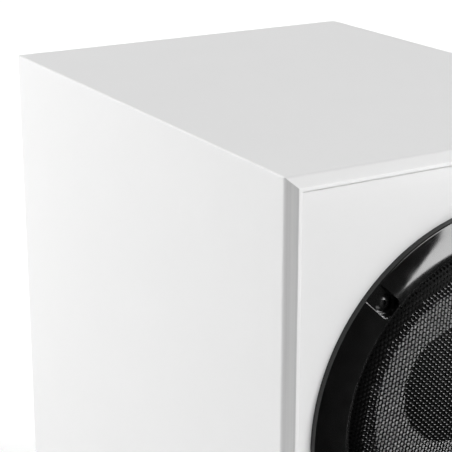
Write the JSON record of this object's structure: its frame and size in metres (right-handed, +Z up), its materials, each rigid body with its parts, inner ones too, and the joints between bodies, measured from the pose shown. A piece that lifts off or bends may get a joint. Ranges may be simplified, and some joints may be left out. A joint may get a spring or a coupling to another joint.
{
  "type": "bookshelf speaker",
  "caption": "Two-way passive bookshelf speaker: white cabinet with a chamfered front, ringed drivers behind domed grilles, rear reflex port and screw terminals.",
  "frame": {"origin": "on the floor under the feet, at the middle of the whole width and depth", "axes": "+Z up, front faces -Y, +X to the right seen from the front"},
  "size_m": [0.21, 0.2886, 0.355],
  "materials": {
    "white_foil": "matte white foil with a fine grain",
    "grey_foil": "matte light grey foil with a fine grain",
    "white_lacquer": "gloss white lacquer",
    "raw_board": "raw fibreboard",
    "wadding": "loose polyester wadding",
    "black_rubber": "matte black rubber",
    "gloss_black": "gloss black moulding",
    "black_mesh": "satin black perforated sheet",
    "black_screw": "black oxide",
    "gasket_foam": "closed cell foam",
    "cast_basket": "black coated casting",
    "cone": "pale grey filled polypropylene",
    "dust_cap": "matte black",
    "spider_cloth": "impregnated cotton",
    "former": "bare foil",
    "copper": "enamelled copper winding",
    "plated_steel": "zinc plated",
    "ferrite": "matte ferrite",
    "phenolic": "brown phenolic paper board",
    "tinned_tab": "tin plated",
    "tinsel": "braided copper tinsel",
    "black_plastic": "fine textured black moulding",
    "dome_silk": "coated silk",
    "gold_plate": "gold plated brass",
    "red_knob": "red moulding",
    "black_knob": "black moulding",
    "circuit_board": "glass fibre board",
    "spacer_nylon": "natural nylon",
    "capacitor_film": "boxed film capacitor",
    "wire_pvc": "soft insulation"
  },
  "bodies": {
    "cabinet": {"back_panel": "grey_foil", "board_screws": "plated_steel", "board_spacers": "spacer_nylon", "bottom_panel": "white_foil", "cabinet_brace": "raw_board", "crossover_board": "circuit_board", "crossover_capacitors": "capacitor_film", "damping_lining": "wadding", "driver_screws": "black_screw", "front_baffle": "white_lacquer", "input_wires": "wire_pvc", "left_side_panel": "white_foil", "negative_post": "gold_plate", "port_tube": "black_plastic", "positive_post": "gold_plate", "post_nuts": "plated_steel", "right_side_panel": "white_foil", "rubber_feet": "black_rubber", "solder_lugs": "tinned_tab", "terminal_cup": "black_plastic", "terminal_gasket": "gasket_foam", "terminal_screws": "black_screw", "top_panel": "white_foil", "tweeter_face_plate": "black_plastic", "tweeter_gasket": "gasket_foam", "tweeter_grille": "black_mesh", "tweeter_inductor": "copper", "tweeter_magnet": "ferrite", "tweeter_rear_cover": "black_plastic", "tweeter_surround": "dome_silk", "tweeter_terminal_tabs": "tinned_tab", "tweeter_top_plate": "plated_steel", "tweeter_trim_ring": "gloss_black", "tweeter_wires": "wire_pvc", "tweeter_yoke": "plated_steel", "woofer_basket": "cast_basket", "woofer_gasket": "gasket_foam", "woofer_grille": "black_mesh", "woofer_inductor": "copper", "woofer_magnet": "ferrite", "woofer_spider": "spider_cloth", "woofer_surround": "black_rubber", "woofer_terminal_strip": "phenolic", "woofer_terminal_tabs": "tinned_tab", "woofer_tinsel_leads": "tinsel", "woofer_top_plate": "plated_steel", "woofer_trim_ring": "gloss_black", "woofer_wires": "wire_pvc", "woofer_yoke": "plated_steel"},
    "woofer_motion": {"woofer_cone": "cone", "woofer_dust_cap": "dust_cap", "woofer_coil_former": "former", "woofer_voice_coil": "copper"},
    "tweeter_motion": {"tweeter_dome": "dome_silk", "tweeter_coil_former": "former", "tweeter_voice_coil": "copper"},
    "positive_clamp": {"positive_clamp_washer": "gold_plate"},
    "positive_knob": {"positive_knob": "red_knob"},
    "negative_clamp": {"negative_clamp_washer": "gold_plate"},
    "negative_knob": {"negative_knob": "black_knob"}
  },
  "joints": [
    {"name": "woofer_excursion", "type": "slide", "parent": "cabinet", "child": "woofer_motion", "axis": [0, -1, 0], "range_m": [-0.005, 0.005], "stiffness_N_per_m": 1200, "deforming": ["woofer_surround", "woofer_spider", "woofer_tinsel_leads"]},
    {"name": "tweeter_excursion", "type": "slide", "parent": "cabinet", "child": "tweeter_motion", "axis": [0, -1, 0], "range_m": [-0.0005, 0.0005], "stiffness_N_per_m": 400, "deforming": ["tweeter_surround"]},
    {"name": "positive_clamp_travel", "type": "slide", "parent": "cabinet", "child": "positive_clamp", "axis": [0, 1, 0], "range_m": [0, 0.00375]},
    {"name": "positive_knob_turn", "type": "hinge", "parent": "positive_clamp", "child": "positive_knob", "pos_m": [-0.0095, 0.12225, 0.095], "axis": [0, 1, 0], "range_deg": [0, 1350]},
    {"name": "negative_clamp_travel", "type": "slide", "parent": "cabinet", "child": "negative_clamp", "axis": [0, 1, 0], "range_m": [0, 0.00375]},
    {"name": "negative_knob_turn", "type": "hinge", "parent": "negative_clamp", "child": "negative_knob", "pos_m": [0.0095, 0.12225, 0.095], "axis": [0, 1, 0], "range_deg": [0, 1350]}
  ],
  "couplings": [
    {"joint": "positive_knob_turn", "follows": "positive_clamp_travel", "rad_per_m": 6283.2},
    {"joint": "negative_knob_turn", "follows": "negative_clamp_travel", "rad_per_m": 6283.2}
  ]
}
